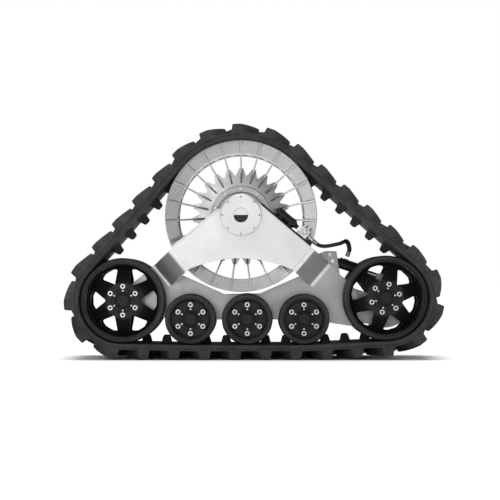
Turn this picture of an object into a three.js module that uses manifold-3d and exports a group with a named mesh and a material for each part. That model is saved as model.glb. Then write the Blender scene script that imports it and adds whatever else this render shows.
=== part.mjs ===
// Triangular rubber-track unit: a moulded belt runs round a toothed drive wheel, a pair of idlers
// at each end and three pairs of road rollers. A welded frame carries them, and a hydraulic
// cylinder tensions the belt by pushing out the yoke of the rear idlers.
// Millimetres, +Z up, +X towards the tensioned end, +Y inboard, towards the vehicle.
// The origin is the middle of the drive hub's mounting face.
import * as THREE from 'three';
import { mergeVertices } from 'three/addons/utils/BufferGeometryUtils.js';
import Module from 'manifold-3d';

const wasm = await Module();
wasm.setup();

// ---- Driving dimensions. Y is measured from the belt's middle plane unless it says otherwise ----
const GAP = 0.4;                      // between solids that touch
const HUB_FACE = 130;                 // mounting face, inboard of the middle plane

const BELT_WIDTH = 610;
const CARCASS = 38;                   // belt thickness without lugs
const TREAD_HEIGHT = 64;
const TREAD_COUNT = 30;               // bars on each half of the belt
const GUIDE_HEIGHT = 62;
const GUIDE_COUNT = 45;
const RUNNING_GAP = 1.8;              // wheel to belt
const BELT_ARC_STEP = THREE.MathUtils.degToRad(8);

const IDLER_RADIUS = 302;
const ROLLER_RADIUS = 180.5;
const ROLLER_SPACING = 402.4;
const ROLLER_Z = -732;
const DRIVE = { x: 0, z: 0, radius: 539.5 };
const FRONT_IDLER = { x: -838.5, z: -601, radius: IDLER_RADIUS };
const REAR_IDLER = { x: 1024.5, z: -583, radius: IDLER_RADIUS };
const REAR_IDLER_TURN = -13.8;        // degrees, where the rear idlers' spokes stand at rest
const ROLLERS = [-1, 0, 1].map((step) => (
  { x: 44 + step * ROLLER_SPACING, z: ROLLER_Z, radius: ROLLER_RADIUS }
));

const WHEEL_OUTER = 230;              // outer face of a wheel
const WHEEL_INNER = 65;               // its face next to the frame
const DISC_FACE = 168;                // face of a wheel's bolted centre
const DISC_THICK = 14;
const AXLE_RADIUS = 35;
const HUB_RADIUS = 61;
const HUB_FLANGE_RADIUS = 118;
const SPOKES = 6;
const IDLER_SEGMENTS = 18;
const ROLLER_SEGMENTS = 16;

const TEETH = 23;
const RIM_INNER = 449;
const RIM_FACE = 180;
const RIM_BACK = 60;
const STAR_FRONT = 110;
const STAR_THICK = 14;
const STAR_TIP = 345;
const STAR_VALLEY = 287;
const STAR_BORE = 168.5;
const JOURNAL_RADIUS = 60;
const HUB_SEGMENTS = 18;

const SIDE_PLATE_FACE = 297;
const FRAME_PLATE = 15;
const APEX_RADIUS = 148;
const HUB_COVER_RADIUS = 145;
const BEARING_SEAT = 96.5;
const ARM_END = 520;                  // where the arms start to bend inwards
const FOOT_START = 690;
const FOOT_END = 720;
const ARM_LOWER = -60;
const FRONT_ARM = { side: -1, angle: THREE.MathUtils.degToRad(39.6), upper: 128 };
const REAR_ARM = { side: 1, angle: THREE.MathUtils.degToRad(40.2), upper: 147 };

const BEAM_FACE = 52;
const BEAM_INSIDE = 40;
const BOSS_RADIUS = 62;

const SLIDE_ANGLE = THREE.MathUtils.degToRad(18.5);   // tensioner travel, below the horizontal
const CYLINDER_LINE = -94;            // height of the cylinder's axis in the slide's own frame
const TONGUE_TOP = -230;
const TONGUE_BOTTOM = -330;
const CYLINDER_PIN = 722;
const PIN_RADIUS = 15;
const EAR_PIN = 1086;

// ---- Materials ----
const finish = (color, roughness, metalness) => (
  new THREE.MeshStandardMaterial({ color, roughness, metalness, flatShading: true })
);
const BELT_RUBBER = finish(0x1c1c1d, 0.85, 0);
const TYRE_RUBBER = finish(0x161617, 0.7, 0);
const SILVER_PAINT = finish(0xb4b6b8, 0.4, 0.6);
const BLACK_PAINT = finish(0x141415, 0.35, 0.3);
const GREY_STEEL = finish(0x77797b, 0.45, 0.8);
const BRIGHT_STEEL = finish(0xcdcfd1, 0.2, 1);

const unit = new THREE.Group();
const middle = new THREE.Group();     // everything measured from the belt's middle plane
middle.position.y = -HUB_FACE;
unit.add(middle);

// ---- Geometry helpers ----
function add(name, geometry, material, parent = middle) {
  const mesh = new THREE.Mesh(geometry, material);
  mesh.name = name;
  parent.add(mesh);
}

function outline(points) {
  return new THREE.Shape(points.map(([x, z]) => new THREE.Vector2(x, z)));
}

// The corner radius of a many-sided bore whose flats just clear a round of this radius.
const clearing = (radius, sides) => radius / Math.cos(Math.PI / sides);

function hole(x, z, radius, sides) {
  const corner = clearing(radius, sides);
  const points = [];
  for (let k = 0; k < sides; k += 1) {
    const angle = 2 * Math.PI * k / sides;
    points.push(new THREE.Vector2(x + corner * Math.cos(angle), z + corner * Math.sin(angle)));
  }
  return new THREE.Path(points);
}

// Neighbouring faces share their corners, so that the solids can be joined and cut.
function weld(geometry) {
  geometry.deleteAttribute('normal');
  geometry.deleteAttribute('uv');
  const welded = mergeVertices(geometry);
  const corners = welded.index.array;
  const kept = [];
  for (let i = 0; i < corners.length; i += 3) {
    const [a, b, c] = corners.subarray(i, i + 3);
    if (a !== b && b !== c && c !== a) kept.push(a, b, c);
  }
  return welded.setIndex(kept);
}

// An outline in its own X and Y, made depth thick along Z.
function extruded(shape, depth, curveSegments = 6) {
  return weld(new THREE.ExtrudeGeometry(shape, { depth, bevelEnabled: false, curveSegments }));
}

// An outline in X and Z made into a plate from yFrom to yTo.
function plate(shape, yFrom, yTo, curveSegments = 6) {
  return extruded(shape, yTo - yFrom, curveSegments).rotateX(Math.PI / 2).translate(0, yTo, 0);
}

function block(x, y, z) {
  return weld(new THREE.BoxGeometry(x, y, z));
}

// A profile of [radius, y] turned round the Y axis.
function turned(profile, segments) {
  const points = profile.map(([r, y]) => new THREE.Vector2(r, y));
  return weld(new THREE.LatheGeometry(points, segments));
}

function ring(inner, outer, yFrom, yTo, segments) {
  const profile = [[inner, yFrom], [outer, yFrom], [outer, yTo], [inner, yTo], [inner, yFrom]];
  return turned(profile, segments);
}

function rod(radius, yFrom, yTo, segments) {
  return turned([[0, yFrom], [radius, yFrom], [radius, yTo], [0, yTo]], segments);
}

function toSolid(geometry) {
  const vertProperties = new Float32Array(geometry.attributes.position.array);
  const triVerts = Uint32Array.from(geometry.index.array);
  return new wasm.Manifold(new wasm.Mesh({ numProp: 3, vertProperties, triVerts }));
}

function toGeometry(solid) {
  const { vertProperties, triVerts } = solid.getMesh();
  const geometry = new THREE.BufferGeometry();
  geometry.setAttribute('position', new THREE.BufferAttribute(vertProperties, 3));
  return geometry.setIndex(new THREE.BufferAttribute(triVerts, 1));
}

const join = (first, ...others) => (
  toGeometry(others.reduce((solid, other) => solid.add(toSolid(other)), toSolid(first)))
);
const cut = (first, ...others) => (
  toGeometry(others.reduce((solid, other) => solid.subtract(toSolid(other)), toSolid(first)))
);

// A closed solid through four-cornered sections that follow each other along +Y.
function loft(sections) {
  const faces = [0, 2, 1, 0, 3, 2];
  for (let k = 0; k < sections.length - 1; k += 1) {
    for (let edge = 0; edge < 4; edge += 1) {
      const a = 4 * k + edge;
      const b = 4 * k + (edge + 1) % 4;
      faces.push(a, b, b + 4, a, b + 4, a + 4);
    }
  }
  const last = 4 * (sections.length - 1);
  faces.push(last, last + 1, last + 2, last, last + 2, last + 3);
  return new THREE.BufferGeometry().setFromPoints(sections.flat()).setIndex(faces);
}

// ---- Belt ----
// The belt's neutral line: an arc on each wheel, each followed by a straight to the next wheel.
function neutralLine() {
  const wheels = [DRIVE, FRONT_IDLER, ROLLERS[0], ROLLERS[2], REAR_IDLER];
  const next = (i) => wheels[(i + 1) % wheels.length];
  const leaveAngle = (a, b) => {
    const apart = Math.hypot(b.x - a.x, b.z - a.z);
    return Math.atan2(b.z - a.z, b.x - a.x) - Math.acos((a.radius - b.radius) / apart);
  };
  const runs = [];
  wheels.forEach((wheel, i) => {
    const before = wheels[(i + wheels.length - 1) % wheels.length];
    const start = leaveAngle(before, wheel);
    let end = leaveAngle(wheel, next(i));
    while (end < start) end += 2 * Math.PI;
    const radius = wheel.radius + RUNNING_GAP + CARCASS / 2;
    runs.push({ wheel, radius, start, turn: end - start, length: radius * (end - start) });
    const apart = Math.hypot(next(i).x - wheel.x, next(i).z - wheel.z);
    const length = Math.sqrt(apart ** 2 - (wheel.radius - next(i).radius) ** 2);
    runs.push({ wheel, radius, start: end, turn: 0, length });
  });
  return runs;
}

const RUNS = neutralLine();
const BELT_LENGTH = RUNS.reduce((sum, run) => sum + run.length, 0);

// A point of the belt: along it, across it, and out from its neutral line.
function beltPoint(distance, across, height) {
  let left = ((distance % BELT_LENGTH) + BELT_LENGTH) % BELT_LENGTH;
  let run = RUNS[0];
  for (run of RUNS) {
    if (left <= run.length) break;
    left -= run.length;
  }
  const angle = run.start + run.turn * left / run.length;
  const straight = run.turn ? 0 : left;
  const out = run.radius + height;
  return new THREE.Vector3(
    run.wheel.x + out * Math.cos(angle) - straight * Math.sin(angle),
    across,
    run.wheel.z + out * Math.sin(angle) + straight * Math.cos(angle),
  );
}

function carcass() {
  const loop = (height) => {
    const points = [];
    let passed = 0;
    for (const run of RUNS) {
      const steps = Math.ceil(run.turn / BELT_ARC_STEP);
      for (let k = 0; k < steps; k += 1) {
        points.push(beltPoint(passed + run.length * k / steps, 0, height));
      }
      if (!steps) points.push(beltPoint(passed, 0, height));
      passed += run.length;
    }
    return points.map((p) => new THREE.Vector2(p.x, p.z));
  };
  const shape = new THREE.Shape(loop(CARCASS / 2));
  shape.holes.push(new THREE.Path(loop(-CARCASS / 2)));
  return plate(shape, -BELT_WIDTH / 2, BELT_WIDTH / 2);
}

// One slanting tread bar: its outer end is square to the belt's edge, its inner end trails.
function treadBar(distance, side) {
  const root = CARCASS / 2 - 4;
  const crest = CARCASS / 2 + TREAD_HEIGHT;
  const rootHalf = 44;
  const crestHalf = 29;
  const edge = BELT_WIDTH / 2 - 0.5;
  const stations = [
    { root: edge, crest: edge - 14, trail: 0 },
    { root: 22, crest: 30, trail: 110 },
  ];
  const sections = stations.map((station) => {
    const at = distance - station.trail;
    return [
      beltPoint(at - rootHalf, side * station.root, root),
      beltPoint(at + rootHalf, side * station.root, root),
      beltPoint(at + crestHalf, side * station.crest, crest),
      beltPoint(at - crestHalf, side * station.crest, crest),
    ];
  });
  return loft(side < 0 ? sections : sections.reverse());
}

function guideLug(distance) {
  const root = -CARCASS / 2 + 4;
  const crest = -CARCASS / 2 - GUIDE_HEIGHT;
  const section = (sign) => [
    beltPoint(distance - 23, sign * 36, crest),
    beltPoint(distance + 23, sign * 36, crest),
    beltPoint(distance + 40, sign * 48, root),
    beltPoint(distance - 40, sign * 48, root),
  ];
  return loft([section(-1), section(1)]);
}

function rubberBelt() {
  const lugs = [];
  const pitch = BELT_LENGTH / TREAD_COUNT;
  for (let k = 0; k < TREAD_COUNT; k += 1) {
    lugs.push(treadBar(k * pitch, -1), treadBar((k + 0.5) * pitch, 1));
  }
  for (let k = 0; k < GUIDE_COUNT; k += 1) {
    lugs.push(guideLug((k + 0.5) * BELT_LENGTH / GUIDE_COUNT));
  }
  return join(carcass(), ...lugs);
}

add('rubber_belt', rubberBelt(), BELT_RUBBER);

// ---- Idlers and road rollers, drawn for the outboard side and turned round for the inboard ----
function spokeWindow(angle) {
  const corners = [[128, -3], [222, -18], [233, -8], [233, 8], [222, 18], [128, 3]];
  const points = corners.map(([radius, degrees]) => {
    const turn = angle + THREE.MathUtils.degToRad(degrees);
    return [radius * Math.cos(turn), radius * Math.sin(turn)];
  });
  return plate(outline(points), -WHEEL_OUTER, 0);
}

function idlerWheel() {
  const bore = clearing(HUB_RADIUS + GAP, IDLER_SEGMENTS);
  const outer = 271.6;
  const inner = 258;
  const dish = 126;
  const body = turned([
    [outer, -WHEEL_OUTER + 2], [outer, -WHEEL_INNER - 2], [inner, -WHEEL_INNER - 2],
    [dish, -DISC_FACE + DISC_THICK], [bore, -DISC_FACE + DISC_THICK],
    [bore, -DISC_FACE], [dish, -DISC_FACE], [inner, -WHEEL_INNER - 16],
    [inner, -WHEEL_OUTER + 2], [outer, -WHEEL_OUTER + 2],
  ], IDLER_SEGMENTS);
  const windows = [];
  for (let k = 0; k < SPOKES; k += 1) {
    windows.push(spokeWindow((k + 1) * 2 * Math.PI / SPOKES));
  }
  return cut(body, ...windows);
}

function rollerWheel() {
  const bore = clearing(HUB_RADIUS + GAP, ROLLER_SEGMENTS);
  const outer = 151.6;
  const inner = 140;
  return turned([
    [outer, -WHEEL_OUTER + 2], [outer, -WHEEL_INNER - 2], [inner, -WHEEL_INNER - 2],
    [inner, -DISC_FACE + DISC_THICK], [bore, -DISC_FACE + DISC_THICK], [bore, -DISC_FACE],
    [inner, -DISC_FACE], [inner, -WHEEL_OUTER + 2],
    [outer, -WHEEL_OUTER + 2],
  ], ROLLER_SEGMENTS);
}

// A bearing hub: capped at its outer end, with a flange behind the wheel's disc.
function wheelHub() {
  const flange = -DISC_FACE + DISC_THICK + GAP;
  const sides = 10;
  const bore = clearing(AXLE_RADIUS + GAP, sides);
  return turned([
    [0, -190], [HUB_RADIUS, -190], [HUB_RADIUS, flange], [HUB_FLANGE_RADIUS, flange],
    [72, -62], [bore, -62], [bore, -173], [0, -173],
  ], sides);
}

function wheelPair(name, at, tyreInner, tyreSegments, wheelGeometry, turn = 0) {
  for (const [side, halfTurn] of [['outboard', 0], ['inboard', Math.PI]]) {
    const axle = new THREE.Group();
    axle.position.set(at.x, 0, at.z);
    axle.rotation.y = -THREE.MathUtils.degToRad(turn);
    const wheel = new THREE.Group();
    wheel.rotation.z = halfTurn;
    axle.add(wheel);
    middle.add(axle);
    const tyre = ring(tyreInner, at.radius, -WHEEL_OUTER, -WHEEL_INNER, tyreSegments);
    add(`${name}_tyre_${side}`, tyre, TYRE_RUBBER, wheel);
    add(`${name}_wheel_${side}`, wheelGeometry(), BLACK_PAINT, wheel);
    add(`${name}_hub_${side}`, wheelHub(), BLACK_PAINT, wheel);
  }
}

wheelPair('front_idler', FRONT_IDLER, 272, IDLER_SEGMENTS, idlerWheel);
wheelPair('rear_idler', REAR_IDLER, 272, IDLER_SEGMENTS, idlerWheel, REAR_IDLER_TURN);
ROLLERS.forEach((roller, k) => (
  wheelPair(`roller_${k + 1}`, roller, 152, ROLLER_SEGMENTS, rollerWheel)
));

// ---- Axles: a thick middle keeps the beam's plates apart ----
const AXLE_END = 168;

function frameAxle() {
  const shoulder = BEAM_INSIDE - GAP;
  return turned([
    [0, -AXLE_END], [AXLE_RADIUS, -AXLE_END], [AXLE_RADIUS, -shoulder], [54, -shoulder],
    [54, shoulder], [AXLE_RADIUS, shoulder], [AXLE_RADIUS, AXLE_END], [0, AXLE_END],
  ], 10);
}

const FRAME_AXLES = [['front_idler_axle', FRONT_IDLER]];
ROLLERS.forEach((roller, k) => FRAME_AXLES.push([`roller_${k + 1}_axle`, roller]));
for (const [name, at] of FRAME_AXLES) {
  add(name, frameAxle().translate(at.x, 0, at.z), GREY_STEEL);
}
add('rear_idler_axle', rod(AXLE_RADIUS, -AXLE_END, AXLE_END, 12)
  .translate(REAR_IDLER.x, 0, REAR_IDLER.z), GREY_STEEL);

// ---- Drive wheel ----
function driveRim() {
  const skin = 14;
  const side = (sign) => {
    const face = [
      [RIM_INNER, -RIM_FACE], [DRIVE.radius, -RIM_FACE], [DRIVE.radius, -RIM_BACK],
      [DRIVE.radius - skin, -RIM_BACK], [DRIVE.radius - skin, -RIM_FACE + skin],
      [RIM_INNER, -RIM_FACE + skin], [RIM_INNER, -RIM_FACE],
    ];
    const mirrored = face.map(([r, y]) => [r, -y]).reverse();
    return turned(sign < 0 ? face : mirrored, 36);
  };
  const bars = [];
  for (let k = 0; k < TEETH; k += 1) {
    const bar = block(34, 2 * RIM_FACE - 16, 23).translate(0, 0, 463.5);
    bars.push(bar.rotateY(2 * Math.PI * (k + 0.5) / TEETH));
  }
  return join(side(-1), side(1), ...bars);
}

function driveSpider() {
  const points = [];
  const polar = (radius, turn) => {
    const angle = Math.PI / 2 + 2 * Math.PI * turn / TEETH;
    return [radius * Math.cos(angle), radius * Math.sin(angle)];
  };
  const tipHalf = 0.143;
  for (let k = 0; k < TEETH; k += 1) {
    points.push(polar(STAR_TIP, k - tipHalf), polar(STAR_TIP, k + tipHalf));
    points.push(polar(STAR_VALLEY, k + 0.5));
  }
  const star = outline(points);
  star.holes.push(hole(0, 0, STAR_BORE, HUB_SEGMENTS));
  const ribs = [];
  for (let k = 0; k < TEETH; k += 1) {
    // Radius up, distance from the middle plane across.
    const profile = outline([
      [296, 103], [340, 99], [RIM_INNER - 2, RIM_FACE + GAP], [DRIVE.radius - 0.5, RIM_FACE + GAP],
      [DRIVE.radius - 0.5, 198], [330, 165],
    ]);
    const rib = extruded(profile, 12).translate(0, 0, -6);
    rib.rotateY(-Math.PI / 2).rotateZ(Math.PI);
    ribs.push(rib.rotateY(2 * Math.PI * k / TEETH));
  }
  return { star: plate(star, -STAR_FRONT, -STAR_FRONT + STAR_THICK, 6), ribs };
}

function driveHub() {
  return turned([
    [0, -294], [JOURNAL_RADIUS, -294], [JOURNAL_RADIUS, -128], [215, -128],
    [215, -STAR_FRONT - GAP], [STAR_BORE - GAP, -STAR_FRONT - GAP], [STAR_BORE - GAP, -90], [110, -90],
    [110, HUB_FACE - 25], [200, HUB_FACE - 25], [200, HUB_FACE], [0, HUB_FACE],
  ], HUB_SEGMENTS);
}

const spider = driveSpider();
add('drive_rim', driveRim(), SILVER_PAINT);
add('drive_spider', join(spider.star, ...spider.ribs), SILVER_PAINT);
add('drive_hub', driveHub(), GREY_STEEL);

// ---- Frame: side plate, arms and the lower beam ----
// A point of an arm: along it from the drive axis, and above its middle line.
function armPoint(arm, along, above) {
  return [
    arm.side * (along * Math.cos(arm.angle) + above * Math.sin(arm.angle)),
    -along * Math.sin(arm.angle) + above * Math.cos(arm.angle),
  ];
}

function sidePlate() {
  const rearCorner = armPoint(REAR_ARM, ARM_END, ARM_LOWER);
  const frontTangent = armPoint(FRONT_ARM, Math.sqrt(APEX_RADIUS ** 2 - FRONT_ARM.upper ** 2),
    FRONT_ARM.upper);
  const rearTangent = armPoint(REAR_ARM, Math.sqrt(APEX_RADIUS ** 2 - REAR_ARM.upper ** 2),
    REAR_ARM.upper);
  const shape = new THREE.Shape();
  shape.moveTo(...armPoint(FRONT_ARM, ARM_END, ARM_LOWER));
  shape.quadraticCurveTo(0, -225, ...rearCorner);
  shape.lineTo(...armPoint(REAR_ARM, ARM_END, REAR_ARM.upper));
  shape.absarc(0, 0, APEX_RADIUS, Math.atan2(rearTangent[1], rearTangent[0]),
    Math.atan2(frontTangent[1], frontTangent[0]));
  shape.lineTo(...armPoint(FRONT_ARM, ARM_END, FRONT_ARM.upper));
  shape.holes.push(hole(0, 0, BEARING_SEAT, HUB_SEGMENTS));
  return plate(shape, -SIDE_PLATE_FACE, -SIDE_PLATE_FACE + FRAME_PLATE, 10);
}

// In an arm's own group X runs along the arm and the arm's upper side is at +Z or, on the front
// arm, which is turned past upright, at -Z.
function armGroup(arm) {
  const group = new THREE.Group();
  group.rotation.y = arm.side > 0 ? arm.angle : Math.PI - arm.angle;
  middle.add(group);
  return group;
}

// The folded plate that takes an arm from the side plate in to the beam.
function joggle(arm) {
  const half = FRAME_PLATE / 2;
  const lip = -SIDE_PLATE_FACE + half;
  const foot = -BEAM_FACE - GAP - half;
  const line = [[ARM_END + GAP, lip], [548, lip], [FOOT_START, foot], [FOOT_END, foot]];
  const near = [];
  const far = [];
  line.forEach(([x, y], i) => {
    const [ax, ay] = line[Math.max(i - 1, 0)];
    const [bx, by] = line[Math.min(i + 1, line.length - 1)];
    const before = Math.atan2(y - ay, x - ax);
    const after = Math.atan2(by - y, bx - x);
    const start = i === 0 ? after : before;
    const end = i === line.length - 1 ? before : after;
    const turn = (start + end) / 2;
    const reach = half / Math.cos((end - start) / 2);
    near.push([x + reach * Math.sin(turn), y - reach * Math.cos(turn)]);
    far.unshift([x - reach * Math.sin(turn), y + reach * Math.cos(turn)]);
  });
  const width = arm.upper - ARM_LOWER;
  const bent = extruded(outline([...near, ...far]), width);
  return bent.translate(0, 0, arm.side > 0 ? ARM_LOWER : -arm.upper);
}

function armStrip(arm, from, to, thick, depth) {
  const above = arm.upper + GAP + thick / 2;
  return block(to - from, depth, thick).translate((from + to) / 2, -SIDE_PLATE_FACE + depth / 2, arm.side * above);
}

const frontArm = armGroup(FRONT_ARM);
const rearArm = armGroup(REAR_ARM);
add('side_plate', sidePlate(), SILVER_PAINT);
add('front_joggle', joggle(FRONT_ARM), SILVER_PAINT, frontArm);
add('rear_joggle', joggle(REAR_ARM), SILVER_PAINT, rearArm);
add('front_arm_flange', armStrip(FRONT_ARM, 90, ARM_END, 12, 80), SILVER_PAINT, frontArm);
add('valve_bracket', armStrip(REAR_ARM, 60, 470, 13, 92), BLACK_PAINT, rearArm);

// The tensioner slides on its own line: X along the slide, Z square to it.
const slide = new THREE.Group();
slide.rotation.y = SLIDE_ANGLE;
middle.add(slide);

function slidePoint(along, above) {
  return [
    along * Math.cos(SLIDE_ANGLE) + above * Math.sin(SLIDE_ANGLE),
    -along * Math.sin(SLIDE_ANGLE) + above * Math.cos(SLIDE_ANGLE),
  ];
}

function beamOutline() {
  const noseRadius = 56.6;
  const noseTop = Math.PI / 2 + FRONT_ARM.angle;
  const shape = new THREE.Shape();
  shape.absarc(FRONT_IDLER.x, FRONT_IDLER.z, noseRadius, noseTop, 1.55 * Math.PI);
  shape.lineTo(-560, -725);
  for (const roller of ROLLERS) {
    shape.lineTo(roller.x - BOSS_RADIUS, -725);
    shape.absarc(roller.x, roller.z, BOSS_RADIUS, Math.PI, 2 * Math.PI);
    shape.lineTo(roller.x + BOSS_RADIUS, -725);
  }
  const points = [
    [645, -764], [799, -787], [842, -586], [804, -504], [744, -445], [705, -413], [684, -262],
    [608, -262], armPoint(REAR_ARM, FOOT_START - 2, REAR_ARM.upper),
    armPoint(REAR_ARM, FOOT_START - 2, ARM_LOWER), [424.5, -427], [135, -552], [-124, -556],
    [-421.7, -423], armPoint(FRONT_ARM, FOOT_START - 2, ARM_LOWER),
    armPoint(FRONT_ARM, FOOT_START - 2, FRONT_ARM.upper),
  ];
  points.forEach(([x, z]) => shape.lineTo(x, z));
  for (const axle of [FRONT_IDLER, ...ROLLERS]) {
    shape.holes.push(hole(axle.x, axle.z, AXLE_RADIUS + GAP, 10));
  }
  const [pinX, pinZ] = slidePoint(CYLINDER_PIN, CYLINDER_LINE);
  shape.holes.push(hole(pinX, pinZ, PIN_RADIUS + GAP, 8));
  return shape;
}

add('beam_plate_outboard', plate(beamOutline(), -BEAM_FACE, -BEAM_INSIDE, 3), SILVER_PAINT);
add('beam_plate_inboard', plate(beamOutline(), BEAM_INSIDE, BEAM_FACE, 3), SILVER_PAINT);

function yokeGuide(from, to) {
  const inside = BEAM_INSIDE - GAP;
  const shape = outline([[740, from], [925, from], [925, to], [740, to]]);
  return plate(shape, -inside, inside);
}

add('yoke_guide_upper', yokeGuide(TONGUE_TOP + 1, TONGUE_TOP + 26), GREY_STEEL, slide);
add('yoke_guide_lower', yokeGuide(TONGUE_BOTTOM - 26, TONGUE_BOTTOM - 1), GREY_STEEL, slide);

// ---- Drive bearing and cover ----
add('bearing_housing', ring(BEARING_SEAT, 140, -281.6, -152, HUB_SEGMENTS), GREY_STEEL);
const journalClear = clearing(JOURNAL_RADIUS + GAP, HUB_SEGMENTS);
const wheelBearing = ring(journalClear, BEARING_SEAT - GAP, -240, -156, HUB_SEGMENTS);
add('wheel_bearing', wheelBearing, BRIGHT_STEEL);
const COVER_WINDOW = 51;
add('hub_cover', turned([
  [COVER_WINDOW, -325], [HUB_COVER_RADIUS - 6, -325], [HUB_COVER_RADIUS, -319],
  [HUB_COVER_RADIUS, -SIDE_PLATE_FACE - GAP], [COVER_WINDOW, -SIDE_PLATE_FACE - GAP],
  [COVER_WINDOW, -325],
], 20), SILVER_PAINT);

// ---- Tensioner ----
function bracketOutline() {
  const shape = outline([[552, -268], [608, -247], [684, -249], [707, -416], [649, -349]]);
  const [pinX, pinZ] = slidePoint(CYLINDER_PIN, CYLINDER_LINE);
  shape.holes.push(hole(pinX, pinZ, PIN_RADIUS + GAP, 8));
  return shape;
}

const BRACKET_FACE = BEAM_FACE + GAP + 12;
add('bracket_outboard', plate(bracketOutline(), -BRACKET_FACE, -BEAM_FACE - GAP, 3), GREY_STEEL);
add('bracket_inboard', plate(bracketOutline(), BEAM_FACE + GAP, BRACKET_FACE, 3), GREY_STEEL);

function idlerYoke() {
  const axle = {
    x: REAR_IDLER.x * Math.cos(SLIDE_ANGLE) - REAR_IDLER.z * Math.sin(SLIDE_ANGLE),
    z: REAR_IDLER.x * Math.sin(SLIDE_ANGLE) + REAR_IDLER.z * Math.cos(SLIDE_ANGLE),
  };
  const shape = new THREE.Shape();
  shape.moveTo(800, TONGUE_BOTTOM);
  shape.lineTo(980, TONGUE_BOTTOM);
  shape.lineTo(980, -468);
  shape.absarc(axle.x, axle.z, 215, 1.445 * Math.PI, 1.79 * Math.PI);
  shape.absarc(axle.x, axle.z, 60, 0, 0.33 * Math.PI);
  shape.absarc(EAR_PIN, CYLINDER_LINE, 28, 0, Math.PI);
  shape.lineTo(EAR_PIN - 28, TONGUE_TOP);
  shape.lineTo(800, TONGUE_TOP);
  shape.holes.push(hole(axle.x, axle.z, AXLE_RADIUS + GAP, 12));
  return plate(shape, -BEAM_INSIDE + 0.6, BEAM_INSIDE - 0.6, 5);
}

// The cylinder's parts are turned round Y, then laid along the slide.
const alongSlide = (geometry) => geometry.rotateZ(-Math.PI / 2).translate(0, 0, CYLINDER_LINE);
const BARREL_END = 985;
const ROD_START = 905;
const PORT_AT = 815;
const PORT_TOP = -28;

function cylinderBarrel() {
  const barrel = alongSlide(turned([
    [0, 698], [36, 698], [36, BARREL_END], [21.5, BARREL_END], [21.5, 840], [0, 840],
  ], 16));
  const port = rod(17, 0, PORT_TOP - CYLINDER_LINE - 20, 10).rotateX(Math.PI / 2);
  port.translate(PORT_AT, 0, CYLINDER_LINE + 20);
  const pinHole = rod(clearing(PIN_RADIUS + GAP, 10), -60, 60, 10).translate(CYLINDER_PIN, 0, CYLINDER_LINE);
  return toGeometry(toSolid(barrel).add(toSolid(port)).subtract(toSolid(pinHole)));
}

add('idler_yoke', idlerYoke(), GREY_STEEL, slide);
add('cylinder_barrel', cylinderBarrel(), BLACK_PAINT, slide);
add('cylinder_rod', alongSlide(rod(20, ROD_START, EAR_PIN - 28 - GAP, 14)), BRIGHT_STEEL, slide);
add('cylinder_pin', rod(PIN_RADIUS, -BRACKET_FACE - 10, BRACKET_FACE + 10, 12)
  .translate(CYLINDER_PIN, 0, CYLINDER_LINE), BRIGHT_STEEL, slide);

// ---- Hydraulics on the rear arm ----
const HYDRAULICS_Y = -240;
const BRACKET_TOP = REAR_ARM.upper + GAP + 13;

function accumulator() {
  const radius = 32;
  const profile = [
    [0, 168], [18, 168], [radius, 182], [radius, 330], [18, 345], [18, 362], [0, 362],
  ];
  const standing = turned(profile, 14).rotateZ(-Math.PI / 2);
  return standing.translate(0, HYDRAULICS_Y, BRACKET_TOP + GAP + radius);
}

function valveBlock() {
  const body = block(78, 56, 66).translate(412, HYDRAULICS_Y, BRACKET_TOP + 33.4);
  const outlet = rod(16, 0, 60, 10).rotateZ(-Math.PI / 2);
  return join(body, outlet.translate(440, HYDRAULICS_Y, BRACKET_TOP + 30));
}

function hose() {
  const place = ([along, y, above]) => {
    const [x, z] = armPoint(REAR_ARM, along, above);
    return new THREE.Vector3(x, y, z);
  };
  const start = [500.5, HYDRAULICS_Y, BRACKET_TOP + 30];
  const lead = [535, HYDRAULICS_Y, BRACKET_TOP + 30];
  const fall = [585, HYDRAULICS_Y + 60, BRACKET_TOP + 52];
  const square = (above) => {
    const [x, z] = slidePoint(PORT_AT, above);
    return new THREE.Vector3(x, 0, z);
  };
  const points = [
    place(start), place(lead), place(fall), new THREE.Vector3(700, -90, -196),
    new THREE.Vector3(762, -22, -180), square(PORT_TOP + 50), square(PORT_TOP + GAP),
  ];
  const route = new THREE.CatmullRomCurve3(points, false, 'centripetal');
  const section = new THREE.Shape().absarc(0, 0, 13.5, 0, 2 * Math.PI);
  const options = { extrudePath: route, steps: 18, curveSegments: 4, bevelEnabled: false };
  return weld(new THREE.ExtrudeGeometry(section, options));
}

add('accumulator', accumulator(), BLACK_PAINT, rearArm);
add('valve_block', valveBlock(), BRIGHT_STEEL, rearArm);
add('hose', hose(), TYRE_RUBBER);

export default unit;
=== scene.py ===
# Triangular rubber-track unit: fine shapes and finishes over the CAD frame.
# Sizes are in millimetres and turned into metres in piece(). Y counts from the belt's middle
# plane, negative outboard. The belt's box and the wheels' places are read from the frame.
# A clearance is the small gap that keeps two pieces of the frame from touching.
import math

import bmesh
import bpy
from mathutils import Matrix, Vector


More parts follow.
